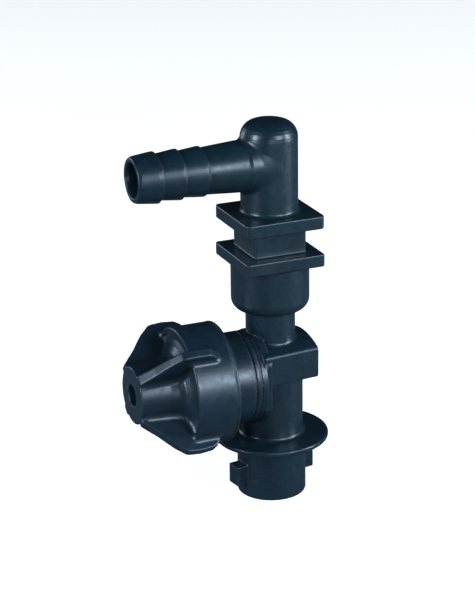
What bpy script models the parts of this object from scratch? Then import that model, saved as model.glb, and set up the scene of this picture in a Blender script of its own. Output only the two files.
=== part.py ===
"""Sprayer nozzle body with a hose-barb elbow, a square clamp collar and a side diaphragm check valve.

Frame: +Z up along the body's axis, -X towards the hose barb and the valve's end cap.
The origin is the centre of the square clamp neck, on the body's axis.
Heights written h(...) count up from the lower rim of the bayonet spigot.
Lengths are in millimetres and become metres through MM.
"""
import bpy
import bmesh
import math
from mathutils import Matrix, Vector

MM = 0.001

# ------------------------------------------------------------------ driving dimensions
GAP = 0.3                 # clearance between separate pieces
SEG = 48                  # facets of a round piece

ORIGIN_H = 77.45          # height of the clamp neck's centre above the spigot rim

SPIGOT_R = 9.9            # bayonet spigot
SPIGOT_BORE_R = 7.2
SPIGOT_BORE_H = 14.5
LUG_R = 13.1              # bayonet lugs
LUG_W = 4.7
LUG_H = (4.1, 10.1)
LUG_TURN = math.radians(9.0)
FLANGE_R = 16.46          # skirt flange above the spigot
FLANGE_H = (16.7, 18.3)
TUBE_R = 9.15             # outlet tube
OUTLET_R = 5.0
NECK_R = 7.05             # neck that enters the cup
NECK_BORE_R = 4.2
NECK_TOP = 68.9
GROOVE_H = (62.0, 64.8)
GROOVE_R = 5.75

CUP_R = 11.1             # cup under the clamp collar
CUP_H = 56.2
CUP_FILLET = 3.2
COLLAR_SIDE = 23.5       # square clamp flanges
LOWER_FLANGE = (70.16, 73.77)
UPPER_FLANGE = (81.14, 84.87)
SQUARE_NECK = 15.5
ELBOW_R = 8.05
ELBOW_TOP = 110.75
ELBOW_FILLET = 4.6
ELBOW_BORE_R = 4.8
BARB_H = 98.62            # hose barb axis
BARB_TIP = 40.3

VALVE_H = 36.4            # valve axis
DISC_U = (4.5, 6.8)       # back disc of the valve chamber
CHAMBER_R = 13.45
DISC_FLAT = 11.6          # half-width across the disc's side flats
COLLAR_U = 15.9           # smooth collar ends, thread starts
THREAD_R = 12.0
RIM_U = 23.0              # front rim that clamps the diaphragm
ANNULUS_R = (4.7, 9.8)
ANNULUS_U = (9.5, 24.0)
SEAT_U = 22.5             # lip of the seat tube
SEAT_BORE_R = 3.2
DIAPHRAGM_R = 11.1
DIAPHRAGM_U = (23.3, 24.9)
SLIP_U = (25.2, 26.4)
SLIP_R = (8.7, 11.4)
CAP_REAR_U = 16.3
CAP_SHOULDER_U = 26.7
CAP_RING_R = 17.3
CAP_RING_FRONT_U = 28.9
NOSE_U = 42.4
NOSE_R = (8.23, 8.8)
SPRING_BORE_R = 6.4
NOSE_WALL_U = 40.0
VENT_R = 3.1
WING_R = 20.5
WING_T = 2.7
WING_TURN = math.radians(48.0)
PLUNGER_R = 5.9
STEM_R = 2.0
STEM_U = 34.0
SPRING_MEAN_R = 4.5
WIRE_R = 0.5
SPRING_TURNS = 6.0
THREAD_PITCH = 2.5


def h(value):
    """Height above the spigot rim, as a coordinate of this frame (millimetres)."""
    return value - ORIGIN_H


VZ = h(VALVE_H)
BZ = h(BARB_H)

# ------------------------------------------------------------------ clean scene
for old in list(bpy.data.objects):
    bpy.data.objects.remove(old, do_unlink=True)

collection = bpy.context.scene.collection


def material(name, colour, roughness, metallic=0.0):
    mat = bpy.data.materials.new(name)
    mat.use_nodes = True
    shader = mat.node_tree.nodes["Principled BSDF"]
    shader.inputs["Base Color"].default_value = (*colour, 1.0)
    shader.inputs["Roughness"].default_value = roughness
    shader.inputs["Metallic"].default_value = metallic
    return mat


def new_object(name, bm, mat=None, helper=False):
    bmesh.ops.remove_doubles(bm, verts=bm.verts, dist=1e-7)
    bmesh.ops.recalc_face_normals(bm, faces=bm.faces)
    mesh = bpy.data.meshes.new(name)
    bm.to_mesh(mesh)
    bm.free()
    obj = bpy.data.objects.new(name, mesh)
    collection.objects.link(obj)
    if mat is not None:
        mesh.materials.append(mat)
    if helper:
        obj.hide_render = True
        obj.display_type = "WIRE"
    else:
        mesh.shade_smooth()
        mesh.set_sharp_from_angle(angle=math.radians(35.0))
    return obj


def on_z(r, a, t):
    return (r * math.cos(a), r * math.sin(a), t)


def on_x(z):
    """Turned about an axis along -X at height z; t counts towards -X."""
    def place(r, a, t):
        return (-t, -r * math.cos(a), z + r * math.sin(a))
    return place


def turned(profile, place, seg=SEG):
    """Solid of revolution of a closed outline of (radius, station) points."""
    bm = bmesh.new()
    rings = []
    for r, t in profile:
        if r < 1e-6:
            rings.append([bm.verts.new([c * MM for c in place(0.0, 0.0, t)])])
        else:
            rings.append([bm.verts.new([c * MM for c in place(r, 2.0 * math.pi * k / seg, t)])
                          for k in range(seg)])
    closed = all(len(ring) > 1 for ring in rings)
    pairs = list(zip(rings, rings[1:]))
    if closed:
        pairs.append((rings[-1], rings[0]))
    for lower, upper in pairs:
        if len(lower) == 1 and len(upper) == 1:
            continue
        for k in range(seg):
            n = (k + 1) % seg
            if len(lower) == 1:
                bm.faces.new((lower[0], upper[k], upper[n]))
            elif len(upper) == 1:
                bm.faces.new((lower[k], lower[n], upper[0]))
            else:
                bm.faces.new((lower[k], lower[n], upper[n], upper[k]))
    return bm


def arc(centre_r, centre_t, radius, start, end, steps=5):
    """Points of a fillet in the (radius, station) plane, angles in degrees."""
    return [(centre_r + radius * math.cos(math.radians(start + (end - start) * i / steps)),
             centre_t + radius * math.sin(math.radians(start + (end - start) * i / steps)))
            for i in range(steps + 1)]


def prism(outline, low, high, place):
    """Closed outline of (a, b) points, extruded between two stations along the third direction."""
    bm = bmesh.new()
    bottom = [bm.verts.new([c * MM for c in place(a, b, low)]) for a, b in outline]
    top = [bm.verts.new([c * MM for c in place(a, b, high)]) for a, b in outline]
    bm.faces.new(bottom)
    bm.faces.new(top)
    count = len(outline)
    for k in range(count):
        n = (k + 1) % count
        bm.faces.new((bottom[k], bottom[n], top[n], top[k]))
    return bm


def rounded_square(side, corner, steps=3):
    half = side / 2.0
    points = []
    for q in range(4):
        mid = math.pi / 4.0 + q * math.pi / 2.0
        cx = math.copysign(half - corner, math.cos(mid))
        cy = math.copysign(half - corner, math.sin(mid))
        for i in range(steps + 1):
            a = mid - math.pi / 4.0 + (math.pi / 2.0) * i / steps
            points.append((cx + corner * math.cos(a), cy + corner * math.sin(a)))
    return points


def flat_xy(a, b, t):
    return (a, b, t)


def combine(target, tools):
    """Boolean modifiers in order; each tool is ("UNION" or "DIFFERENCE", helper object)."""
    for index, (operation, tool) in enumerate(tools):
        mod = target.modifiers.new(f"{operation.lower()}_{index}", "BOOLEAN")
        mod.operation = operation
        mod.object = tool
        mod.solver = "EXACT"
    return target


def add(name, bm):
    return ("UNION", new_object(name, bm, helper=True))


def cut(name, bm):
    return ("DIFFERENCE", new_object(name, bm, helper=True))


moulding = material("moulded_body", (0.060, 0.085, 0.115), 0.42)
cap_plastic = material("moulded_cap", (0.062, 0.086, 0.118), 0.45)
rubber = material("seal_rubber", (0.012, 0.012, 0.013), 0.65)
acetal = material("acetal", (0.62, 0.61, 0.57), 0.38)
steel = material("spring_steel", (0.55, 0.55, 0.56), 0.28, 1.0)

# ------------------------------------------------------------------ inlet elbow
# Cup, clamp collar, riser and hose barb are one moulding.
elbow = new_object("inlet_elbow", turned(
    [(0.0, h(CUP_H)), (CUP_R - CUP_FILLET, h(CUP_H))]
    + arc(CUP_R - CUP_FILLET, h(CUP_H + CUP_FILLET), CUP_FILLET, -90, 0)[1:]
    + [(CUP_R, h(72.0)), (0.0, h(72.0))], on_z), moulding)

barb_profile = [(0.0, 1.0), (7.6, 1.0), (7.5, 8.0), (7.2, 10.0), (6.5, 20.0), (6.95, 20.25), (6.38, 26.7),
                (7.0, 26.95), (6.35, 33.25), (7.1, 33.5), (6.5, 39.8), (6.25, BARB_TIP), (0.0, BARB_TIP)]
combine(elbow, [
    add("elbow_lower_flange", prism(rounded_square(COLLAR_SIDE, 1.0), h(LOWER_FLANGE[0]), h(LOWER_FLANGE[1]), flat_xy)),
    add("elbow_square_neck", prism(rounded_square(SQUARE_NECK, 0.6, 2), h(72.4), h(82.4), flat_xy)),
    add("elbow_upper_flange", prism(rounded_square(COLLAR_SIDE, 1.0), h(UPPER_FLANGE[0]), h(UPPER_FLANGE[1]), flat_xy)),
    add("elbow_riser", turned(
        [(0.0, h(83.0)), (ELBOW_R + 1.0, h(83.0)), (ELBOW_R + 1.0, h(84.95)), (ELBOW_R + 0.3, h(85.25)),
         (ELBOW_R, h(86.0))]
        + arc(ELBOW_R - ELBOW_FILLET, h(ELBOW_TOP - ELBOW_FILLET), ELBOW_FILLET, 0, 90)
        + [(0.0, h(ELBOW_TOP))], on_z)),
    add("elbow_barb", turned(barb_profile, on_x(BZ), 40)),
    cut("elbow_socket", turned([(0.0, h(50.0)), (NECK_R + GAP, h(50.0)), (NECK_R + GAP, h(NECK_TOP + GAP)),
                                (0.0, h(NECK_TOP + GAP))], on_z)),
    cut("elbow_riser_bore", turned([(0.0, h(60.0)), (ELBOW_BORE_R, h(60.0)), (ELBOW_BORE_R, BZ + 1.0),
                                    (ELBOW_BORE_R * 0.7, BZ + 3.6), (0.0, BZ + 4.6)], on_z, 40)),
    cut("elbow_barb_bore", turned([(0.0, -0.5), (ELBOW_BORE_R - 0.15, -0.5), (ELBOW_BORE_R - 0.15, 50.0), (0.0, 50.0)],
                                  on_x(BZ), 40)),
])

# ------------------------------------------------------------------ valve body
# Neck, chamber, outlet tube, skirt flange and bayonet spigot are one moulding.
body = new_object("valve_body", turned(
    [(0.0, 0.0 + h(0.0)), (SPIGOT_R - 0.5, h(0.0)), (SPIGOT_R, h(0.6)), (SPIGOT_R, h(FLANGE_H[0])),
     (FLANGE_R - 0.3, h(FLANGE_H[0])), (FLANGE_R, h(FLANGE_H[0] + 0.5)), (FLANGE_R, h(FLANGE_H[1] - 0.3)),
     (FLANGE_R - 0.3, h(FLANGE_H[1])), (TUBE_R + 1.1, h(FLANGE_H[1])), (TUBE_R + 0.3, h(FLANGE_H[1] + 0.4)),
     (TUBE_R, h(FLANGE_H[1] + 1.2)), (TUBE_R, h(41.0)), (0.0, h(41.0))], on_z), moulding)

block_side = []
CROWN = 11.2
EDGE = 9.1
for i in range(9):
    y = -1.0 + 2.0 * i / 8.0
    block_side.append((y, EDGE + (CROWN - EDGE) * (1.0 - y * y)))


def block():
    """Arched block behind the chamber, narrower towards its back end."""
    bm = bmesh.new()
    stations = [(-6.6, 11.4, 0.0), (9.9, 9.9, 0.0), (10.7, 9.2, 0.5)]
    rings = []
    for x, half, drop in stations:
        ring = [bm.verts.new(Vector((x, -half, VZ + 0.2 + drop)) * MM)]
        for y, z in block_side:
            ring.append(bm.verts.new(Vector((x, y * half, VZ + z - drop)) * MM))
        ring.append(bm.verts.new(Vector((x, half, VZ + 0.2 + drop)) * MM))
        rings.append(ring)
    count = len(rings[0])
    for a, b in zip(rings, rings[1:]):
        for k in range(count):
            n = (k + 1) % count
            bm.faces.new((a[k], a[n], b[n], b[k]))
    bm.faces.new(rings[0])
    bm.faces.new(rings[-1])
    return bm


def disc():
    """Back disc of the chamber, with a flat on each side."""
    bm = turned([(0.0, DISC_U[0]), (CHAMBER_R - 0.2, DISC_U[0]), (CHAMBER_R, DISC_U[0] + 0.2), (CHAMBER_R, DISC_U[1]),
                 (0.0, DISC_U[1])], on_x(VZ))
    for vert in bm.verts:
        vert.co.y = min(max(vert.co.y, -DISC_FLAT * MM), DISC_FLAT * MM)
    return bm


def lug(turn):
    """Bayonet lug: a short rounded tongue standing out of the spigot."""
    ca, sa = math.cos(turn), math.sin(turn)
    half = LUG_W / 2.0
    outline = [(SPIGOT_R - 1.5, -half), (LUG_R - 0.5, -half), (LUG_R, -half + 0.5),
               (LUG_R, half - 0.5), (LUG_R - 0.5, half), (SPIGOT_R - 1.5, half)]
    return prism(outline, h(LUG_H[0]), h(LUG_H[1]), lambda a, b, t: (a * ca - b * sa, a * sa + b * ca, t))


combine(body, [
    add("body_neck", turned([(0.0, VZ + 4.0), (NECK_R + 0.9, VZ + 4.0), (NECK_R + 0.9, VZ + CROWN + 0.15),
                             (NECK_R + 0.25, VZ + CROWN + 0.5), (NECK_R, VZ + CROWN + 1.1),
                             (NECK_R, h(GROOVE_H[0])), (GROOVE_R, h(GROOVE_H[0])), (GROOVE_R, h(GROOVE_H[1])),
                             (NECK_R, h(GROOVE_H[1])), (NECK_R, h(NECK_TOP - 0.4)), (NECK_R - 0.4, h(NECK_TOP)),
                             (0.0, h(NECK_TOP))], on_z)),
    add("body_block", block()),
    add("body_disc", disc()),
    add("body_chamber", turned([(0.0, 2.0), (9.0, 2.0), (9.0, DISC_U[1] - 0.6), (CHAMBER_R - 0.25, DISC_U[1] - 0.6),
                                (CHAMBER_R - 0.25, COLLAR_U - 0.4), (CHAMBER_R - 0.65, COLLAR_U), (THREAD_R, COLLAR_U),
                                (THREAD_R, RIM_U - 0.6), (THREAD_R - 0.6, RIM_U), (0.0, RIM_U)], on_x(VZ))),
    add("body_lug_left", lug(math.pi + LUG_TURN)),
    add("body_lug_right", lug(LUG_TURN)),
    cut("body_chamber_bore", turned([(0.0, 0.0), (SEAT_BORE_R, 0.0), (SEAT_BORE_R, SEAT_U), (ANNULUS_R[0], SEAT_U),
                                     (ANNULUS_R[0], ANNULUS_U[0]), (ANNULUS_R[1], ANNULUS_U[0]),
                                     (ANNULUS_R[1], ANNULUS_U[1]), (0.0, ANNULUS_U[1])], on_x(VZ), 40)),
    cut("body_outlet_bore", turned([(0.0, h(-3.0)), (SPIGOT_BORE_R, h(-3.0)), (SPIGOT_BORE_R, h(SPIGOT_BORE_H)),
                                    (OUTLET_R, h(SPIGOT_BORE_H + 1.5)), (OUTLET_R, VZ + 1.0), (0.0, VZ + 3.4)], on_z, 40)),
    cut("body_neck_bore", turned([(0.0, VZ + 6.4), (NECK_BORE_R, VZ + 6.4), (NECK_BORE_R, h(75.0)), (0.0, h(75.0))],
                                 on_z, 32)),
    cut("body_inlet_port", turned([(0.0, 0.0), (1.75, 0.0), (1.75, 12.0), (0.0, 12.0)], on_x(VZ + 7.9), 20)),
])

# ------------------------------------------------------------------ neck O-ring
groove_mid = h(0.5 * (GROOVE_H[0] + GROOVE_H[1]))
ring_centre = 0.5 * (GROOVE_R + NECK_R + GAP) 
ring_half = 0.5 * (NECK_R + GAP - GROOVE_R) - 0.15
o_ring = new_object("neck_o_ring", turned(
    [(ring_centre + ring_half * math.cos(2 * math.pi * k / 10), groove_mid + 1.0 * math.sin(2 * math.pi * k / 10))
     for k in range(10)], on_z, 40), rubber)

# ------------------------------------------------------------------ diaphragm
diaphragm = new_object("diaphragm", turned(
    [(0.0, SEAT_U + GAP), (5.0, SEAT_U + GAP), (5.6, DIAPHRAGM_U[0]), (DIAPHRAGM_R, DIAPHRAGM_U[0]),
     (DIAPHRAGM_R, DIAPHRAGM_U[1]), (0.0, DIAPHRAGM_U[1])], on_x(VZ)), rubber)

# ------------------------------------------------------------------ slip ring
slip_ring = new_object("slip_ring", turned(
    [(SLIP_R[0], SLIP_U[0]), (SLIP_R[1], SLIP_U[0]), (SLIP_R[1], SLIP_U[1]), (SLIP_R[0], SLIP_U[1])], on_x(VZ)), acetal)

# ------------------------------------------------------------------ spring seat with its stem
spring_seat = new_object("spring_seat", turned(
    [(0.0, DIAPHRAGM_U[1] + GAP), (PLUNGER_R - 0.3, DIAPHRAGM_U[1] + GAP), (PLUNGER_R, DIAPHRAGM_U[1] + GAP + 0.3),
     (PLUNGER_R, 26.8), (3.4, 26.8), (3.4, 28.2), (STEM_R, 28.8), (STEM_R, STEM_U - 0.4), (STEM_R - 0.4, STEM_U), (0.0, STEM_U)],
    on_x(VZ), 40), acetal)

# ------------------------------------------------------------------ closing spring
spring_low = 26.8 + GAP + WIRE_R
spring_high = NOSE_WALL_U - GAP - WIRE_R


def coil():
    bm = bmesh.new()
    per_turn, sides = 16, 6
    total = int(per_turn * SPRING_TURNS)
    rings = []
    for i in range(total + 1):
        share = i / total
        turn = 2.0 * math.pi * SPRING_TURNS * share
        # the end turns lie flat, the middle turns carry the pitch
        eased = min(max((share - 0.13) / 0.74, 0.0), 1.0)
        station = spring_low + 1.15 * min(share / 0.13, 1.0) + \
            (spring_high - spring_low - 2.3) * eased + 1.15 * max((share - 0.87) / 0.13, 0.0)
        ring = []
        for s in range(sides):
            a = 2.0 * math.pi * s / sides
            r = SPRING_MEAN_R + WIRE_R * math.cos(a)
            ring.append(bm.verts.new([c * MM for c in on_x(VZ)(r, turn, station + WIRE_R * math.sin(a))]))
        rings.append(ring)
    for a, b in zip(rings, rings[1:]):
        for s in range(sides):
            n = (s + 1) % sides
            bm.faces.new((a[s], a[n], b[n], b[s]))
    bm.faces.new(rings[0])
    bm.faces.new(rings[-1])
    return bm


closing_spring = new_object("closing_spring", coil(), steel)

# ------------------------------------------------------------------ end cap
cap = new_object("end_cap", turned(
    [(0.0, NOSE_U), (NOSE_R[0] - 0.3, NOSE_U), (NOSE_R[0], NOSE_U - 0.3), (NOSE_R[1], 33.0), (9.1, 31.6),
     (10.0, 30.1), (11.6, 28.9), (13.6, 28.2), (15.6, 28.0), (16.3, CAP_RING_FRONT_U), (16.9, CAP_RING_FRONT_U),
     (CAP_RING_R, CAP_RING_FRONT_U - 0.5), (CAP_RING_R, CAP_REAR_U + 0.4), (CAP_RING_R - 0.4, CAP_REAR_U),
     (0.0, CAP_REAR_U)], on_x(VZ)), cap_plastic)


def wing(turn):
    """Grip wing: a flat web from the nose out to the grip ring, outline in (station, radius)."""
    ca, sa = math.cos(turn), math.sin(turn)
    outline = [(41.9, 6.5), (41.9, 9.2), (40.6, 10.6), (38.4, 13.1), (35.2, 17.0), (32.6, 19.6), (31.0, 20.3),
               (27.6, WING_R), (24.3, WING_R - 0.4), (22.8, WING_R - 1.2), (21.7, 18.0), (21.3, 14.6), (27.3, 14.6), (27.3, 7.4)]
    half = WING_T / 2.0

    def place(u, r, t):
        # radial direction at `turn` (0 towards -Y, a quarter turn towards +Z), t across the web
        return (-u, -(r * ca - t * sa), VZ + r * sa + t * ca)
    return prism(outline, -half, half, place)


combine(cap, [
    add("cap_wing_1", wing(WING_TURN)),
    add("cap_wing_2", wing(WING_TURN + math.pi / 2)),
    add("cap_wing_3", wing(WING_TURN + math.pi)),
    add("cap_wing_4", wing(WING_TURN + 3 * math.pi / 2)),
    cut("cap_thread_bore", turned([(0.0, 10.0), (THREAD_R + GAP, 10.0), (THREAD_R + GAP, CAP_SHOULDER_U),
                                   (SPRING_BORE_R, CAP_SHOULDER_U), (SPRING_BORE_R, NOSE_WALL_U), (VENT_R, NOSE_WALL_U),
                                   (VENT_R, 46.0), (0.0, 46.0)], on_x(VZ))),
])

# ------------------------------------------------------------------ joint axes
# The cap turns about the valve axis and withdraws along it; the spring seat slides along it.
axis = bpy.data.objects.new("valve_axis", None)
axis.empty_display_size = 0.01
axis.location = Vector((0.0, 0.0, VZ * MM))
collection.objects.link(axis)
bpy.context.view_layer.update()
for piece in (slip_ring, spring_seat, closing_spring, cap):
    piece.parent = axis
    piece.matrix_parent_inverse = axis.matrix_world.inverted()
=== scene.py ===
"""Looks of the sprayer nozzle body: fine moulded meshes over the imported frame, materials, lights and camera.

The moulded pieces are described as distance functions in millimetres (solids joined and cut with rounded
edges and root fillets), and are turned into dense meshes here. Turned inner pieces are lathe meshes.
Heights h(...) count up from the rim of the bayonet spigot; u counts from the body's axis towards the end cap.
"""

import math

import bpy
import numpy as np
from mathutils import Matrix, Vector


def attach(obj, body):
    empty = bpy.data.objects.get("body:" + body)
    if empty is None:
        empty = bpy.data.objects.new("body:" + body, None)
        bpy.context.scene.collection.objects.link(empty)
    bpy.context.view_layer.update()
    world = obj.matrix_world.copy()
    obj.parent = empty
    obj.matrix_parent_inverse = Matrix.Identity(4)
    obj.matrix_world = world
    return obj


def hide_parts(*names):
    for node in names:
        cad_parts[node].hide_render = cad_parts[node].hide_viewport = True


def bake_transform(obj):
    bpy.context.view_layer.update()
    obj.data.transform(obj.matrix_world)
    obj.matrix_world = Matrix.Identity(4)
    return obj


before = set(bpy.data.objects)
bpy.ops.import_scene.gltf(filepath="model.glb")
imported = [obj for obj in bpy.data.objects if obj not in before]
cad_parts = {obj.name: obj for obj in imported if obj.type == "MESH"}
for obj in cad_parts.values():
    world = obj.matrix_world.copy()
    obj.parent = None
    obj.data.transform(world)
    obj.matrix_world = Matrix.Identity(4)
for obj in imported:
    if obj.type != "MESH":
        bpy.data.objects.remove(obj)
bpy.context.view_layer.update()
MM = 0.001
FINE = 0.30

ORIGIN_H = 77.45


def h(v):
    return v - ORIGIN_H


VZ = h(36.4)              # valve axis
BZ = h(98.62)             # hose barb axis
F = np.float32

# ------------------------------------------------------------------ distance functions


def union(a, b, k=0.0):
    """Union of two solids with a fillet of radius k along the joint."""
    if k <= 0.0:
        return np.minimum(a, b)
    return np.maximum(F(k), np.minimum(a, b)) - np.hypot(np.maximum(F(k) - a, 0), np.maximum(F(k) - b, 0))


def common(a, b, k=0.0):
    """Intersection of two solids with edges rounded to radius k."""
    if k <= 0.0:
        return np.maximum(a, b)
    return np.minimum(F(-k), np.maximum(a, b)) + np.hypot(np.maximum(F(k) + a, 0), np.maximum(F(k) + b, 0))


def minus(a, b, k=0.0):
    return common(a, -b, k)


def outline(corners, steps=7):
    """Closed outline from (x, y) or (x, y, radius) corners; each radius rounds its corner with an arc."""
    pts = []
    n = len(corners)
    for i, c in enumerate(corners):
        p = np.array(c[:2], float)
        r = c[2] if len(c) > 2 else 0.0
        if r <= 0.0:
            pts.append(p)
            continue
        a = np.array(corners[i - 1][:2], float) - p
        b = np.array(corners[(i + 1) % n][:2], float) - p
        la, lb = np.linalg.norm(a), np.linalg.norm(b)
        a, b = a / la, b / lb
        half = 0.5 * math.acos(max(-1.0, min(1.0, float(a @ b))))
        if half > math.radians(89.5):
            pts.append(p)
            continue
        reach = min(r / math.tan(half), 0.49 * la, 0.49 * lb)
        r = reach * math.tan(half)
        centre = p + (a + b) / np.linalg.norm(a + b) * (r / math.sin(half))
        s, e = p + a * reach - centre, p + b * reach - centre
        a0 = math.atan2(s[1], s[0])
        turn = (math.atan2(e[1], e[0]) - a0 + math.pi) % (2 * math.pi) - math.pi
        for j in range(steps + 1):
            t = a0 + turn * j / steps
            pts.append(centre + r * np.array([math.cos(t), math.sin(t)]))
    return np.array(pts)


class Flat:
    """Signed distance to a closed outline, tabulated on a fine grid and read by interpolation."""

    def __init__(self, corners, low, high, step=0.06):
        pts = outline(corners)
        self.low, self.step = np.array(low, float), step
        nx = int(math.ceil((high[0] - low[0]) / step)) + 1
        ny = int(math.ceil((high[1] - low[1]) / step)) + 1
        x = (low[0] + step * np.arange(nx)).astype(F)[:, None]
        y = (low[1] + step * np.arange(ny)).astype(F)[None, :]
        d = np.full((nx, ny), 1e9, F)
        odd = np.zeros((nx, ny), bool)
        for p, q in zip(pts, np.roll(pts, -1, axis=0)):
            ex, ey = F(q[0] - p[0]), F(q[1] - p[1])
            ll = ex * ex + ey * ey
            if ll < 1e-12:
                continue
            wx, wy = x - F(p[0]), y - F(p[1])
            t = np.clip((wx * ex + wy * ey) / ll, 0, 1)
            d = np.minimum(d, (wx - ex * t) ** 2 + (wy - ey * t) ** 2)
            if abs(q[1] - p[1]) > 1e-9:
                crosses = ((y >= p[1]) != (y >= q[1]))
                odd ^= crosses & (wx < wy * (ex / ey))
        self.d = (np.sqrt(d) * np.where(odd, -1, 1)).astype(F)

    def __call__(self, x, y):
        nx, ny = self.d.shape
        fx = np.clip((x - F(self.low[0])) / F(self.step), 0, nx - 1.001)
        fy = np.clip((y - F(self.low[1])) / F(self.step), 0, ny - 1.001)
        ix, iy = fx.astype(np.int32), fy.astype(np.int32)
        fx, fy = fx - ix, fy - iy
        d, flat = self.d.ravel(), ix * ny + iy
        a = d[flat] * (1 - fy) + d[flat + 1] * fy
        b = d[flat + ny] * (1 - fy) + d[flat + ny + 1] * fy
        return a * (1 - fx) + b * fx


def lathe(corners, low, high):
    """Turned solid: corners are (radius, station), and an outline on the axis starts at radius -6."""
    table = Flat(corners, low, high)
    return lambda r, t: table(r, t)


def slab(x, low, high):
    return np.abs(x - F((low + high) / 2)) - F((high - low) / 2)


def square_block(x, y, z, half, corner, low, high, edge):
    """Upright square plate with rounded corners in plan and rounded upper and lower edges."""
    qx, qy = np.abs(x) - F(half - corner), np.abs(y) - F(half - corner)
    plan = np.minimum(np.maximum(qx, qy), 0) + np.hypot(np.maximum(qx, 0), np.maximum(qy, 0)) - F(corner)
    return common(plan, slab(z, low, high), edge)


# ------------------------------------------------------------------ meshing of a distance function


def gradient(fn, v, eps=0.02):
    g = np.empty_like(v)
    for axis in range(3):
        d = np.zeros(3, F)
        d[axis] = eps
        p, q = v + d, v - d
        g[:, axis] = fn(p[:, 0], p[:, 1], p[:, 2]) - fn(q[:, 0], q[:, 1], q[:, 2])
    return g / F(2 * eps)


def skin(name, fn, low, high, step, relax=3):
    """Closed mesh of the surface fn = 0 inside a box (millimetres): dual cells, relaxed and put back on the surface."""
    n = [int(math.ceil((high[k] - low[k]) / step)) + 1 for k in range(3)]
    ax = [(low[k] + step * np.arange(n[k])).astype(F) for k in range(3)]
    field = np.empty(n, F)
    yy, zz = ax[1][None, :, None], ax[2][None, None, :]
    for i in range(0, n[0], 16):
        xx = ax[0][i:i + 16][:, None, None]
        shape = (xx.shape[0], n[1], n[2])
        field[i:i + 16] = fn(np.broadcast_to(xx, shape), np.broadcast_to(yy, shape), np.broadcast_to(zz, shape))
    inside = field < 0
    count = np.zeros([k - 1 for k in n], np.int8)
    corners = [(a, b, c) for a in (0, 1) for b in (0, 1) for c in (0, 1)]
    for a, b, c in corners:
        count += inside[a:n[0] - 1 + a, b:n[1] - 1 + b, c:n[2] - 1 + c]
    mixed = (count > 0) & (count < 8)
    cell = np.argwhere(mixed)
    index = np.full(mixed.shape, -1, np.int64)
    index[mixed] = np.arange(len(cell))
    value = {c: field[cell[:, 0] + c[0], cell[:, 1] + c[1], cell[:, 2] + c[2]] for c in corners}
    total, hits = np.zeros((len(cell), 3)), np.zeros(len(cell))
    for c in corners:
        for axis in range(3):
            if c[axis]:
                continue
            e = list(c)
            e[axis] = 1
            e = tuple(e)
            va, vb = value[c], value[e]
            cross = (va < 0) != (vb < 0)
            t = np.where(cross, va / np.where(cross, va - vb, 1), 0)
            p = np.array(c, float)[None, :].repeat(len(cell), 0)
            p[:, axis] += t
            total += p * cross[:, None]
            hits += cross
    v = (np.array(low) + step * (cell + total / hits[:, None])).astype(F)
    quads = []
    for axis in range(3):
        b, c = (axis + 1) % 3, (axis + 2) % 3
        lo = [slice(None)] * 3
        hi = [slice(None)] * 3
        lo[axis], hi[axis] = slice(0, -1), slice(1, None)
        flip = inside[tuple(lo)] != inside[tuple(hi)]
        at = np.argwhere(flip)
        at = at[(at[:, b] > 0) & (at[:, c] > 0) & (at[:, b] < n[b] - 1) & (at[:, c] < n[c] - 1)]
        first = inside[at[:, 0], at[:, 1], at[:, 2]]
        cells = []
        for db, dc in ((-1, -1), (0, -1), (0, 0), (-1, 0)):
            q = at.copy()
            q[:, b] += db
            q[:, c] += dc
            cells.append(index[q[:, 0], q[:, 1], q[:, 2]])
        quad = np.stack(cells, 1)
        quad[~first] = quad[~first][:, ::-1]
        quads.append(quad)
    quads = np.concatenate(quads)
    quads = quads[(quads >= 0).all(1)]
    pairs = np.concatenate([quads[:, [0, 1]], quads[:, [1, 2]], quads[:, [2, 3]], quads[:, [3, 0]]])

    def settle(v, turns):
        for _ in range(turns):
            d = fn(v[:, 0], v[:, 1], v[:, 2])
            g = gradient(fn, v)
            gg = np.maximum((g * g).sum(1), 0.15)
            move = np.clip(d / gg, -0.4 * step, 0.4 * step)
            v = v - move[:, None] * g
        return v.astype(F)

    v = settle(v, 3)
    for _ in range(relax):
        acc = np.zeros((len(v), 3))
        num = np.bincount(pairs.ravel(), minlength=len(v))
        for k in range(3):
            acc[:, k] = (np.bincount(pairs[:, 0], v[pairs[:, 1], k], len(v))
                         + np.bincount(pairs[:, 1], v[pairs[:, 0], k], len(v)))
        mean = acc / np.maximum(num, 1)[:, None]
        v = settle((v + 0.5 * (mean - v)).astype(F), 2)
    normal = gradient(fn, v)
    normal /= np.maximum(np.linalg.norm(normal, axis=1), 1e-6)[:, None]

    # how far each point stands proud of or sits below its surroundings, for wear on the edges and for the darker roots,
    # which are painted shade with some grime
    probe = 0.7
    out = v + normal * probe
    outer = fn(out[:, 0], out[:, 1], out[:, 2]) / probe
    into = v - normal * probe
    inner = fn(into[:, 0], into[:, 1], into[:, 2]) / probe
    edge = np.clip((1.0 + inner) * 1.6, 0, 1)
    root = np.clip((1.0 - outer) * 1.6, 0, 1)

    mesh = bpy.data.meshes.new(name)
    mesh.vertices.add(len(v))
    mesh.vertices.foreach_set("co", (v * MM).astype(F).ravel())
    mesh.loops.add(quads.size)
    mesh.loops.foreach_set("vertex_index", quads.astype(np.int32).ravel())
    mesh.polygons.add(len(quads))
    mesh.polygons.foreach_set("loop_start", np.arange(0, quads.size, 4, dtype=np.int32))
    mesh.update(calc_edges=True)
    mesh.validate()
    mesh.shade_smooth()
    for title, data in (("edge", edge), ("root", root)):
        layer = mesh.attributes.new(title, "FLOAT", "POINT")
        layer.data.foreach_set("value", data.astype(F))
    mesh.normals_split_custom_set_from_vertices([tuple(p) for p in normal])
    obj = bpy.data.objects.new(name, mesh)
    bpy.context.scene.collection.objects.link(obj)
    print(name, len(v), "points", len(quads), "quads")
    return obj


# ------------------------------------------------------------------ inlet elbow

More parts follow.
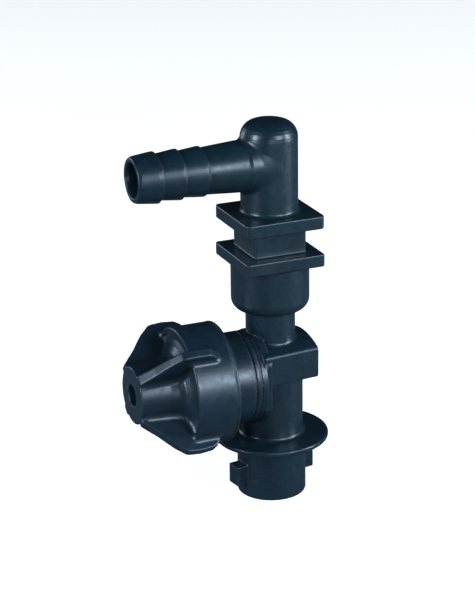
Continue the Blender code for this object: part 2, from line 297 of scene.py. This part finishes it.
CUP = lathe([(-6, h(56.2)), (11.1, h(56.2), 3.3), (11.1, h(71.2)), (-6, h(71.2))], (-0.5, h(54)), (14, h(74)))
SOCKET = lathe([(-6, h(50)), (8.2, h(50)), (8.2, h(56.3)), (7.35, h(57.2), 0.3), (7.35, h(69.2), 0.4), (-6, h(69.2))],
               (-0.5, h(48)), (14, h(72)))
RISER = lathe([(-6, h(83.0)), (8.05, h(83.0)), (8.05, h(110.75), 4.7), (-6, h(110.75))], (-0.5, h(80)), (12, h(113)))
BARB = lathe([(-6, 0.0), (7.65, 0.0), (7.55, 7.7, 0.25), (7.25, 8.5, 0.5), (7.1, 11.0), (6.48, 20.05, 0.18),
              (7.0, 20.3, 0.16), (6.94, 21.2, 0.5), (6.36, 26.72, 0.18), (7.04, 26.98, 0.16), (6.97, 27.9, 0.5),
              (6.34, 33.28, 0.18), (7.13, 33.55, 0.16), (7.05, 34.7, 0.5), (6.5, 39.4, 0.4), (6.1, 40.28, 0.35),
              (-6, 40.28)], (-0.5, -2.0), (11, 43))


def elbow(x, y, z):
    rz = np.hypot(x, y)
    rx = np.hypot(y, z - F(BZ))
    u = -x
    d = CUP(rz, z)
    lower = square_block(x, y, z, 11.75, 0.9, h(70.16), h(73.77), 0.32)
    d = union(d, lower, 0.5)
    neck = square_block(x, y, z, 7.75, 0.6, h(72.0), h(83.0), 0.1)
    upper = square_block(x, y, z, 11.75, 1.5, h(81.14), h(84.87), 0.32)
    d = union(d, union(neck, upper, 0.45), 0.45)
    riser = RISER(rz, z)
    barb = BARB(rx, u)
    d = union(d, union(riser, barb, 0.9), 1.1)
    d = minus(d, SOCKET(rz, z), 0.2)
    bore_z = common(rz - F(4.8), slab(z, h(60), BZ + 3.4), 1.6)
    bore_x = common(rx - F(4.65) - F(0.28) * np.clip((u - F(39.2)) / F(1.1), 0, 1), slab(u, -1.0, 60.0), 0.5)
    return minus(d, union(bore_z, bore_x, 0.3), 0.25)


# ------------------------------------------------------------------ valve body

SPIGOT = lathe([(-6, h(0.0)), (9.9, h(0.0), 0.5), (9.9, h(17.4)), (-6, h(17.4))], (-0.5, h(-3)), (14, h(20)))
SKIRT = lathe([(-6, h(16.7)), (16.46, h(16.7), 0.5), (16.46, h(18.3), 0.6), (-6, h(18.3))], (-0.5, h(14)), (20, h(21)))
TUBE = lathe([(-6, h(17.0)), (9.15, h(17.0)), (9.15, h(41.0)), (-6, h(41.0))], (-0.5, h(14)), (13, h(44)))
NECK = lathe([(-6, VZ + 4.0), (7.05, VZ + 4.0), (7.05, h(62.0), 0.15), (5.75, h(62.0), 0.25), (5.75, h(64.8), 0.25),
              (7.05, h(64.8), 0.15), (7.05, h(68.9), 0.6), (-6, h(68.9))], (-0.5, VZ + 1.0), (11, h(72)))
DISC = lathe([(-6, 4.5), (13.45, 4.5, 0.35), (13.45, 6.8, 0.35), (-6, 6.8)], (-0.5, 2.0), (16, 9.5))
COLLAR = lathe([(-6, 2.0), (9.2, 2.0, 1.0), (9.2, 6.2), (13.2, 6.2), (13.2, 7.9, 0.15), (12.97, 8.1, 0.1),
                (12.97, 8.45, 0.1), (13.2, 8.65, 0.15), (13.2, 9.5, 0.15), (12.97, 9.7, 0.1), (12.97, 10.05, 0.1),
                (13.2, 10.25, 0.15), (13.2, 15.9, 0.6), (11.2, 15.9, 0.4), (11.2, 23.0, 0.5), (-6, 23.0)],
               (-0.5, 0.0), (16, 26))
OUTLET = lathe([(-6, h(-4.0)), (7.2, h(-4.0)), (7.2, h(14.5), 0.4), (5.0, h(15.4), 0.4), (5.0, VZ + 3.0, 2.0), (-6, VZ + 3.0)],
               (-0.5, h(-6)), (12, VZ + 6))
CHAMBER = lathe([(-6, -0.5), (3.2, -0.5), (3.2, 22.6, 0.3), (4.7, 22.6, 0.3), (4.7, 9.5, 0.5), (9.8, 9.5, 0.5), (9.8, 27.0),
                 (-6, 27.0)], (-0.5, -2), (14, 28))
PITCH = 2.5


LUG_TURN = math.radians(9.0)


def thread_wave(rx, u, y, zc, phase):
    """Rounded ridge of a right-hand thread about the valve axis, 0 in the root and 1 on the crest."""
    turn = np.arctan2(zc, -y) / F(2 * math.pi)
    s = u / F(PITCH) + turn + F(phase)
    w = np.abs((s - np.floor(s)) * 2 - 1)
    return np.clip((w - F(0.30)) / F(0.42), 0, 1)


def lug(x, y, z, turn):
    ca, sa = math.cos(turn), math.sin(turn)
    a, b = x * F(ca) + y * F(sa), -x * F(sa) + y * F(ca)
    side = common(np.abs(b) - F(2.35), np.abs(a - F(9.55)) - F(3.55), 0.35)
    return common(side, slab(z, h(4.1), h(10.1)), 0.35)


def body(x, y, z):
    rz = np.hypot(x, y)
    zc = z - F(VZ)
    rx = np.hypot(y, zc)
    u = -x
    d = union(SPIGOT(rz, z), union(lug(x, y, z, math.pi + LUG_TURN), lug(x, y, z, LUG_TURN), 0), 0.35)
    d = union(d, SKIRT(rz, z), 0.35)
    d = union(d, TUBE(rz, z), 1.1)
    # arched block
    half = F(11.4) - (x + F(6.6)) * F(1.5 / 16.5)
    across = (np.abs(y) - half) * F(0.996)
    t = np.clip(y / half, -1.2, 1.2)
    crown = (zc - (F(9.1) + F(2.1) * (1 - t * t))) * F(0.955)
    shape = common(across, crown, 0.75)
    shape = common(shape, -zc + F(0.2), 0.45)
    shape = common(shape, slab(x, -6.6, 10.7), 0.6)
    d = union(d, shape, 0.5)
    d = union(d, NECK(rz, z), 0.85)
    disc = common(DISC(rx, u), np.abs(y) - F(11.6), 0.3)
    d = union(d, disc, 0.25)
    collar = COLLAR(rx, u)
    ridge = (rx - F(11.2) - F(0.8) * thread_wave(rx, u, y, zc, 0.0)
             * np.clip((u - F(16.3)) / F(0.9), 0, 1) * np.clip((F(22.7) - u) / F(0.9), 0, 1)) * F(0.72)
    ridge = common(ridge, slab(u, 14.0, 22.8), 0.2)
    d = union(d, union(collar, ridge, 0.15), 0.3)
    # moulding gate left under the disc
    gate = np.sqrt((u - F(7.0)) ** 2 + (y + F(1.6)) ** 2 + (zc + F(13.1)) ** 2) - F(1.15)
    d = union(d, gate, 0.3)
    d = minus(d, OUTLET(rz, z), 0.25)
    d = minus(d, CHAMBER(rx, u), 0.2)
    d = minus(d, common(rz - F(4.2), slab(z, VZ + 6.4, h(80)), 0.4), 0.25)
    port = common(np.hypot(y, zc - F(7.9)) - F(1.75), slab(u, -0.5, 12.0), 0.2)
    return minus(d, port, 0.15)


# ------------------------------------------------------------------ end cap

CAP = lathe([(-6, 42.35), (8.23, 42.35, 0.55), (8.8, 33.4, 3.0), (9.25, 31.2, 1.6), (10.2, 29.8, 1.4), (11.9, 28.75, 1.6),
             (13.8, 28.1, 0.9), (15.55, 28.0, 0.5), (16.2, 28.9, 0.35), (17.25, 28.9, 0.55), (17.18, 26.0), (17.18, 17.5, 0.12),
             (17.02, 17.35, 0.1), (17.02, 17.2, 0.1), (17.25, 17.0, 0.15), (17.25, 16.3, 0.45), (-6, 16.3)],
            (-0.5, 14.0), (20, 45))
CAP_BORE = lathe([(-6, 10.0), (12.3, 10.0), (12.3, 26.7, 0.4), (6.4, 26.7, 0.3), (6.4, 40.0, 0.4), (-6, 40.0)],
                 (-0.5, 8.0), (16, 42))
WING = Flat([(37.5, 2.0), (42.05, 6.0), (42.15, 9.2, 0.5), (40.8, 10.65, 2.0), (38.4, 13.1, 3.0), (36.4, 15.6, 3.0),
             (34.8, 17.5, 3.0), (31.7, 20.25, 2.6), (27.7, 20.55, 3.0), (24.0, 20.2, 1.6), (22.0, 18.9, 1.8),
             (21.2, 16.0, 0.3), (21.2, 14.0), (28.0, 13.0), (28.4, 2.0)],
            (16.0, -2.0), (46.0, 24.0), 0.05)
WING_T = 2.7


def cap(x, y, z):
    zc = z - F(VZ)
    rx = np.hypot(y, zc)
    u = -x
    d = CAP(rx, u)
    # the four wings stand at quarter turns: fold the plane onto one of them
    ang = math.radians(48)
    a, b = -y, zc
    p = a * F(math.cos(ang)) + b * F(math.sin(ang))
    q = -a * F(math.sin(ang)) + b * F(math.cos(ang))
    swap = np.abs(q) > np.abs(p)
    rad = np.where(swap, np.abs(q), np.abs(p))
    off = np.where(swap, np.abs(p), np.abs(q))
    draft = F(WING_T / 2) + F(0.35) * np.clip((F(16.0) - rad) / F(9.0), 0, 1)
    web = common(WING(u, rad), off - draft, 0.55)
    # the wing roots are filleted, less so near the nose face, which stays flat
    k = F(1.5) * np.clip((F(42.6) - u) / F(2.2), F(0.08), F(1.0))
    d = np.maximum(k, np.minimum(d, web)) - np.hypot(np.maximum(k - d, 0), np.maximum(k - web, 0))
    d = common(d, u - F(42.33), 0.3)
    bore = CAP_BORE(rx, u)
    d = minus(d, bore, 0.3)
    vent = common(rx - F(3.1), slab(u, 38.0, 46.0), 0.1)
    d = minus(d, vent, 0.35)
    # internal thread, with running clearance to the one on the body
    ridge = F(12.3) - F(0.75) * thread_wave(rx, u, y, zc, 0.5) * np.clip((u - F(17.3)) / F(0.8), 0, 1) \
        * np.clip((F(24.6) - u) / F(0.8), 0, 1) - rx
    ridge = common(ridge * F(0.72), common(slab(u, 16.9, 26.0), rx - F(14.0), 0), 0)
    return union(d, ridge, 0.12)


# ------------------------------------------------------------------ turned inner pieces


def on_z(r, a, t):
    return (r * math.cos(a), r * math.sin(a), t)


def on_valve(r, a, t):
    return (-t, -r * math.cos(a), VZ + r * math.sin(a))


def spun(name, corners, place, seg=128, steps=5):
    pts = outline(corners, steps)
    verts, faces, rings = [], [], []
    for r, t in pts:
        if r < 1e-6:
            rings.append([len(verts)])
            verts.append([c * MM for c in place(0.0, 0.0, t)])
        else:
            rings.append(list(range(len(verts), len(verts) + seg)))
            verts += [[c * MM for c in place(r, 2 * math.pi * k / seg, t)] for k in range(seg)]
    for a, b in zip(rings, rings[1:] + rings[:1]):
        if len(a) == 1 and len(b) == 1:
            continue
        for k in range(seg):
            n = (k + 1) % seg
            if len(a) == 1:
                faces.append((a[0], b[k], b[n]))
            elif len(b) == 1:
                faces.append((a[k], a[n], b[0]))
            else:
                faces.append((a[k], a[n], b[n], b[k]))
    return made(name, verts, faces)


def made(name, verts, faces, angle=35.0):
    import bmesh
    mesh = bpy.data.meshes.new(name)
    mesh.from_pydata(verts, [], faces)
    bm = bmesh.new()
    bm.from_mesh(mesh)
    bmesh.ops.remove_doubles(bm, verts=bm.verts, dist=1e-8)
    bmesh.ops.recalc_face_normals(bm, faces=bm.faces)
    bm.to_mesh(mesh)
    bm.free()
    mesh.shade_smooth()
    mesh.set_sharp_from_angle(angle=math.radians(angle))
    obj = bpy.data.objects.new(name, mesh)
    bpy.context.scene.collection.objects.link(obj)
    return obj


def coil(name):
    """Compression spring with closed, ground end turns."""
    low, high, wire, mean, turns = 27.1 + 0.5, 39.7 - 0.5, 0.5, 4.5, 6.0
    per, sides = 40, 14
    total = int(per * turns)
    verts, faces, rings = [], [], []
    path = []
    for i in range(total + 1):
        s = i / total
        eased = min(max((s - 0.13) / 0.74, 0.0), 1.0)
        eased = eased * eased * (3 - 2 * eased) * 0.15 + eased * 0.85
        t = low + 1.15 * min(s / 0.13, 1.0) + (high - low - 2.3) * eased + 1.15 * max((s - 0.87) / 0.13, 0.0)
        path.append((2 * math.pi * turns * s, t))
    for turn, t in path:
        ring = []
        for k in range(sides):
            a = 2 * math.pi * k / sides
            station = min(max(t + wire * math.sin(a), 27.25), 39.6)
            ring.append(len(verts))
            verts.append([c * MM for c in on_valve(mean + wire * math.cos(a), turn, station)])
        rings.append(ring)
    for a, b in zip(rings, rings[1:]):
        for k in range(sides):
            n = (k + 1) % sides
            faces.append((a[k], a[n], b[n], b[k]))
    faces.append(tuple(rings[0]))
    faces.append(tuple(reversed(rings[-1])))
    return made(name, verts, faces, 50)


# ------------------------------------------------------------------ materials


def nodes_of(mat):
    mat.use_nodes = True
    tree = mat.node_tree
    return tree, tree.nodes, tree.links, tree.nodes["Principled BSDF"]


def add(nodes, kind, **values):
    node = nodes.new(kind)
    for key, value in values.items():
        if hasattr(node, key):
            setattr(node, key, value)
        else:
            node.inputs[key].default_value = value
    return node


def noise(nodes, links, vector, scale, detail=3.0, rough=0.5):
    n = nodes.new("ShaderNodeTexNoise")
    n.inputs["Scale"].default_value = scale
    n.inputs["Detail"].default_value = detail
    n.inputs["Roughness"].default_value = rough
    links.new(vector, n.inputs["Vector"])
    return n.outputs["Fac"]


def ramp(nodes, links, value, low, high, out_low, out_high):
    m = nodes.new("ShaderNodeMapRange")
    m.inputs["From Min"].default_value = low
    m.inputs["From Max"].default_value = high
    m.inputs["To Min"].default_value = out_low
    m.inputs["To Max"].default_value = out_high
    links.new(value, m.inputs["Value"])
    return m.outputs["Result"]


def mix_colour(nodes, links, factor, a, b):
    m = nodes.new("ShaderNodeMix")
    m.data_type = "RGBA"
    links.new(factor, m.inputs["Factor"])
    for socket, colour in ((m.inputs["A"], a), (m.inputs["B"], b)):
        if isinstance(colour, tuple):
            socket.default_value = (*colour, 1.0)
        else:
            links.new(colour, socket)
    return m.outputs["Result"]


def maths(nodes, links, operation, a, b):
    m = nodes.new("ShaderNodeMath")
    m.operation = operation
    for k, value in ((0, a), (1, b)):
        if isinstance(value, (int, float)):
            m.inputs[k].default_value = value
        else:
            links.new(value, m.inputs[k])
    return m.outputs["Value"]


def moulded(name, colour, rough, seam=None):
    """Moulded nylon: fine spark-eroded grain, slow flow marks, lighter rubbed edges, and rougher roots darkened with
    painted shade and some grime.
    """
    mat = bpy.data.materials.new(name)
    tree, nodes, links, shader = nodes_of(mat)
    coord = nodes.new("ShaderNodeTexCoord").outputs["Object"]
    stretch = nodes.new("ShaderNodeMapping")
    stretch.inputs["Scale"].default_value = (1.0, 1.0, 0.45)
    links.new(coord, stretch.inputs["Vector"])
    flow = noise(nodes, links, stretch.outputs["Vector"], 190.0, 4.0, 0.55)
    cloud = noise(nodes, links, coord, 620.0, 3.0, 0.5)
    grain = noise(nodes, links, coord, 4200.0, 2.0, 0.6)
    fine = noise(nodes, links, coord, 9500.0, 1.0, 0.5)
    edge = nodes.new("ShaderNodeAttribute")
    edge.attribute_name = "edge"
    root = nodes.new("ShaderNodeAttribute")
    root.attribute_name = "root"

    r, g, b = colour
    dark = (r * 0.80, g * 0.84, b * 0.86)
    light = (r * 1.22, g * 1.17, b * 1.16)
    tone = mix_colour(nodes, links, ramp(nodes, links, flow, 0.32, 0.68, 0.0, 1.0), dark, light)
    rub = (r * 1.75 + 0.003, g * 1.7 + 0.003, b * 1.65 + 0.003)
    worn = maths(nodes, links, "MULTIPLY", edge.outputs["Fac"], ramp(nodes, links, cloud, 0.38, 0.66, 0.10, 0.62))
    tone = mix_colour(nodes, links, worn, tone, rub)
    # the roots are darkened in colour: painted shade where the creases fall into shadow, with some grime
    grime_and_shade = maths(nodes, links, "MULTIPLY", root.outputs["Fac"], ramp(nodes, links, cloud, 0.35, 0.65, 0.55, 0.25))
    tone = mix_colour(nodes, links, grime_and_shade, tone, (r * 0.55, g * 0.58, b * 0.62))
    links.new(tone, shader.inputs["Base Color"])

    base = ramp(nodes, links, cloud, 0.3, 0.7, rough - 0.05, rough + 0.06)
    base = maths(nodes, links, "ADD", base, ramp(nodes, links, grain, 0.35, 0.65, -0.03, 0.03))
    base = maths(nodes, links, "ADD", base, maths(nodes, links, "MULTIPLY", root.outputs["Fac"], 0.12))
    links.new(base, shader.inputs["Roughness"])
    shader.inputs["IOR"].default_value = 1.5
    shader.inputs["Specular IOR Level"].default_value = 0.45

    height = maths(nodes, links, "ADD", maths(nodes, links, "MULTIPLY", grain, 0.55),
                   maths(nodes, links, "MULTIPLY", fine, 0.25))
    height = maths(nodes, links, "ADD", height, maths(nodes, links, "MULTIPLY", flow, 1.3))
    if seam is not None:
        split = nodes.new("ShaderNodeSeparateXYZ")
        links.new(coord, split.inputs["Vector"])
        away = maths(nodes, links, "ABSOLUTE", split.outputs["Y"], 0.0)
        line = ramp(nodes, links, away, 0.0, 0.00016, 2.2, 0.0)
        height = maths(nodes, links, "ADD", height, line)
    bump = nodes.new("ShaderNodeBump")
    bump.inputs["Strength"].default_value = 0.40
    bump.inputs["Distance"].default_value = 0.000012
    links.new(height, bump.inputs["Height"])
    links.new(bump.outputs["Normal"], shader.inputs["Normal"])
    return mat


def simple(name, colour, rough, spread, metallic=0.0, bump_size=2600.0, bump_depth=0.00001, drawn=False):
    mat = bpy.data.materials.new(name)
    tree, nodes, links, shader = nodes_of(mat)
    coord = nodes.new("ShaderNodeTexCoord").outputs["Object"]
    vector = coord
    if drawn:
        lay = nodes.new("ShaderNodeMapping")
        lay.inputs["Scale"].default_value = (5.0, 1.0, 1.0)
        links.new(coord, lay.inputs["Vector"])
        vector = lay.outputs["Vector"]
    cloud = noise(nodes, links, coord, 500.0, 3.0)
    grain = noise(nodes, links, vector, bump_size, 3.0)
    r, g, b = colour
    tone = mix_colour(nodes, links, ramp(nodes, links, cloud, 0.3, 0.7, 0.0, 1.0),
                      (r * (1 - spread), g * (1 - spread), b * (1 - spread)),
                      (min(r * (1 + spread), 1), min(g * (1 + spread), 1), min(b * (1 + spread), 1)))
    links.new(tone, shader.inputs["Base Color"])
    links.new(ramp(nodes, links, grain, 0.3, 0.7, rough - 0.06, rough + 0.06), shader.inputs["Roughness"])
    shader.inputs["Metallic"].default_value = metallic
    bump = nodes.new("ShaderNodeBump")
    bump.inputs["Strength"].default_value = 0.6
    bump.inputs["Distance"].default_value = bump_depth
    links.new(grain, bump.inputs["Height"])
    links.new(bump.outputs["Normal"], shader.inputs["Normal"])
    return mat


body_plastic = moulded("moulded_nylon", (0.0050, 0.0145, 0.0210), 0.33, seam=True)
cap_plastic = moulded("moulded_nylon_cap", (0.0060, 0.0150, 0.0230), 0.35)
rubber = simple("seal_elastomer", (0.018, 0.018, 0.019), 0.62, 0.18, bump_size=3800.0)
acetal = simple("acetal_resin", (0.62, 0.61, 0.57), 0.36, 0.04)
wire = simple("spring_wire", (0.56, 0.56, 0.57), 0.26, 0.10, metallic=1.0, bump_size=3000.0, drawn=True)


def finish_piece(obj, mat, node, owner):
    obj.data.materials.clear()
    obj.data.materials.append(mat)
    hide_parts(node)
    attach(obj, owner)
    return obj


# ------------------------------------------------------------------ pieces

finish_piece(skin("elbow_moulding", elbow, (-41.0, -12.2, h(55.2)), (12.2, 12.2, h(111.2)), FINE),
             body_plastic, "inlet_elbow", "main_body")
finish_piece(skin("body_moulding", body, (-24.2, -17.3, h(-0.9)), (17.3, 17.3, h(69.9)), FINE),
             body_plastic, "valve_body", "main_body")
finish_piece(skin("cap_moulding", cap, (-43.0, -17.7, VZ - 17.7), (-15.4, 17.7, VZ + 17.7), FINE * 0.85),
             cap_plastic, "end_cap", "cap")

ring_mid, ring_r = h(63.4), 0.5 * (5.75 + 7.35)
o_ring = spun("neck_seal", [(ring_r + 0.65 * math.cos(2 * math.pi * k / 24), ring_mid + 1.0 * math.sin(2 * math.pi * k / 24))
                            for k in range(24)], on_z)
finish_piece(o_ring, rubber, "neck_o_ring", "main_body")
finish_piece(spun("valve_diaphragm", [(0, 22.8), (4.9, 22.8, 0.4), (5.7, 23.75, 0.5), (7.0, 24.05, 0.6), (8.6, 23.75, 0.6),
                                      (9.7, 23.3, 0.3), (11.1, 23.3, 0.25), (11.1, 24.9, 0.25), (9.6, 24.9, 0.3), (8.6, 24.75, 0.5),
                                      (7.0, 24.75, 0.4), (5.6, 24.9, 0.4), (0, 24.9)], on_valve),
             rubber, "diaphragm", "main_body")
finish_piece(spun("cap_slip_ring", [(8.7, 25.2, 0.25), (11.4, 25.2, 0.2), (11.4, 26.4, 0.2), (8.7, 26.4, 0.25)], on_valve),
             acetal, "slip_ring", "cap_carrier")
finish_piece(spun("spring_plunger", [(0, 25.2), (5.9, 25.2, 0.4), (5.9, 26.8, 0.3), (3.4, 26.8, 0.25), (3.4, 28.2, 0.4),
                                     (2.0, 28.8, 0.5), (2.0, 34.0, 0.5), (0, 34.0)], on_valve),
             acetal, "spring_seat", "poppet")

# the spring stands between the spring seat and the end wall of the cap
spring = coil("valve_spring")
spring.data.materials.clear()
spring.data.materials.append(wire)
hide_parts("closing_spring")
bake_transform(spring)

# ------------------------------------------------------------------ floor, light, camera


def pale_floor(name):
    """Pale matt paper. It shows white with soft shadows, and throws only a little light back up."""
    mat = bpy.data.materials.new(name)
    tree, nodes, links, shader = nodes_of(mat)
    nodes.remove(shader)
    seen = nodes.new("ShaderNodeBsdfDiffuse")
    seen.inputs["Color"].default_value = (0.75, 0.75, 0.75, 1.0)
    glow = nodes.new("ShaderNodeEmission")
    glow.inputs["Color"].default_value = (1.0, 1.0, 1.0, 1.0)
    glow.inputs["Strength"].default_value = 0.74
    both = nodes.new("ShaderNodeAddShader")
    links.new(seen.outputs[0], both.inputs[0])
    links.new(glow.outputs[0], both.inputs[1])
    dim = nodes.new("ShaderNodeBsdfDiffuse")
    dim.inputs["Color"].default_value = (0.16, 0.17, 0.18, 1.0)
    ray = nodes.new("ShaderNodeLightPath")
    pick = nodes.new("ShaderNodeMixShader")
    links.new(ray.outputs["Is Camera Ray"], pick.inputs["Fac"])
    links.new(dim.outputs[0], pick.inputs[1])
    links.new(both.outputs[0], pick.inputs[2])
    links.new(pick.outputs[0], nodes["Material Output"].inputs["Surface"])
    return mat


floor_mesh = bpy.data.meshes.new("floor")
size, z0 = 3.0, (h(0.0) - 0.02) * MM
floor_mesh.from_pydata([(-size, -size, z0), (size, -size, z0), (size, size, z0), (-size, size, z0)], [], [(0, 1, 2, 3)])
floor = bpy.data.objects.new("floor", floor_mesh)
bpy.context.scene.collection.objects.link(floor)
floor_mesh.materials.append(pale_floor("floor_paper"))

view = bpy.context.scene.view_settings
view.view_transform = "Standard"
view.look = "None"
view.exposure = 0.0
view.gamma = 1.0

world = bpy.context.scene.world or bpy.data.worlds.new("studio")
bpy.context.scene.world = world
world.use_nodes = True
wn, wl = world.node_tree.nodes, world.node_tree.links
back = wn["Background"]
back.inputs["Color"].default_value = (0.50, 0.80, 1.0, 1.0)
back.inputs["Strength"].default_value = 0.030
pale = wn.new("ShaderNodeBackground")
pale.inputs["Color"].default_value = (0.97, 0.97, 0.97, 1.0)
pale.inputs["Strength"].default_value = 1.0
blend = wn.new("ShaderNodeMixShader")
path = wn.new("ShaderNodeLightPath")
wl.new(path.outputs["Is Camera Ray"], blend.inputs["Fac"])
wl.new(back.outputs["Background"], blend.inputs[1])
wl.new(pale.outputs["Background"], blend.inputs[2])
wl.new(blend.outputs["Shader"], wn["World Output"].inputs["Surface"])


def lamp(name, where, look, size, power, colour=(1, 1, 1)):
    data = bpy.data.lights.new(name, "AREA")
    data.shape = "RECTANGLE"
    data.size, data.size_y = size
    data.energy = power
    data.color = colour
    obj = bpy.data.objects.new(name, data)
    bpy.context.scene.collection.objects.link(obj)
    obj.location = Vector(where)
    obj.rotation_euler = (Vector(look) - Vector(where)).to_track_quat("-Z", "Y").to_euler()
    return obj


AZ, EL, ROLL, DIST = math.radians(-22.64), math.radians(20.43), math.radians(-0.85), 550.0
TX, TZ = -9.32, 7.63
behind = Vector((math.sin(AZ) * math.cos(EL), -math.cos(AZ) * math.cos(EL), math.sin(EL)))
right = Vector((math.cos(AZ), math.sin(AZ), 0.0))
up = behind.cross(right).normalized()
right2 = right * math.cos(ROLL) + up * math.sin(ROLL)
up2 = -right * math.sin(ROLL) + up * math.cos(ROLL)
target = Vector((0, 0, 50.0 - ORIGIN_H)) + right2 * TX + up2 * TZ
eye = target + behind * DIST

camera_data = bpy.data.cameras.new("camera")
camera_data.sensor_width = 36.0
camera_data.sensor_fit = "AUTO"
camera_data.lens = 1937.62 * 36.0 / 600.0
camera_data.clip_start, camera_data.clip_end = 0.01, 50.0
camera = bpy.data.objects.new("camera", camera_data)
bpy.context.scene.collection.objects.link(camera)
turn = Matrix((right2, up2, behind)).transposed()
camera.matrix_world = Matrix.Translation(eye * MM) @ turn.to_4x4()
bpy.context.scene.camera = camera

centre = Vector((-0.01, 0, -0.02))


def from_angle(azimuth, elevation, distance):
    a, e = math.radians(azimuth), math.radians(elevation)
    return centre + Vector((math.sin(a) * math.cos(e), -math.cos(a) * math.cos(e), math.sin(e))) * distance


cool = (0.70, 0.87, 1.06)
lamp("key", from_angle(20, 20, 0.75), centre, (0.26, 0.26), 4.2, cool)
lamp("right", from_angle(58, 10, 0.80), centre, (0.13, 0.60), 9.0, cool)
lamp("front", from_angle(-10, 6, 0.75), centre, (0.22, 0.26), 0.9, cool)
lamp("left", from_angle(-80, 16, 0.75), centre, (0.16, 0.40), 6.5, cool)
lamp("back", from_angle(-150, 5, 0.80), centre, (0.25, 0.40), 1.5, cool)
